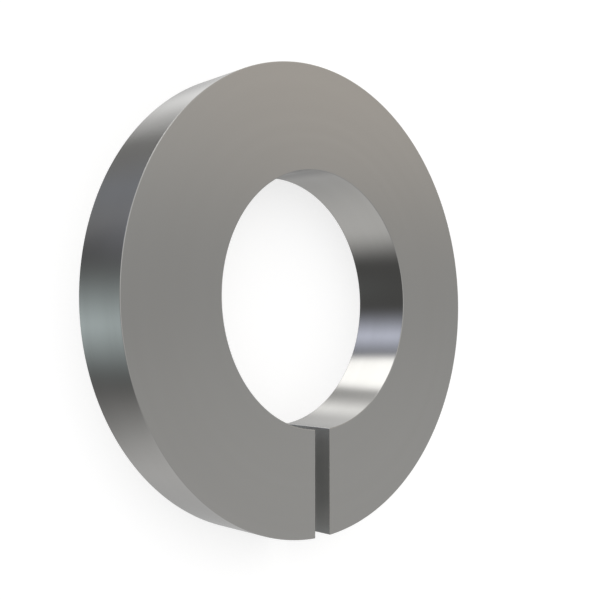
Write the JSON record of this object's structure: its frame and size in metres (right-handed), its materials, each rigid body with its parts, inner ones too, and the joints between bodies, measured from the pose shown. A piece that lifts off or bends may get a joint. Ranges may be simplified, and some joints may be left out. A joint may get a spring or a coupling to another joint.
{
  "type": "lock washer",
  "caption": "Flat single-turn spring lock washer of rectangular wire section, parted by a narrow straight slot.",
  "frame": {"origin": "centre of the bore at the washer's lower face", "axes": "+Z along the bore axis, out of the upper face; -Y through the slot between the two cut ends"},
  "size_m": [0.0148, 0.0148, 0.002],
  "materials": {
    "spring_steel": "satin, fine drawn grain along the wire"
  },
  "bodies": {
    "root": {"lock_washer": "spring_steel"}
  },
  "joints": []
}
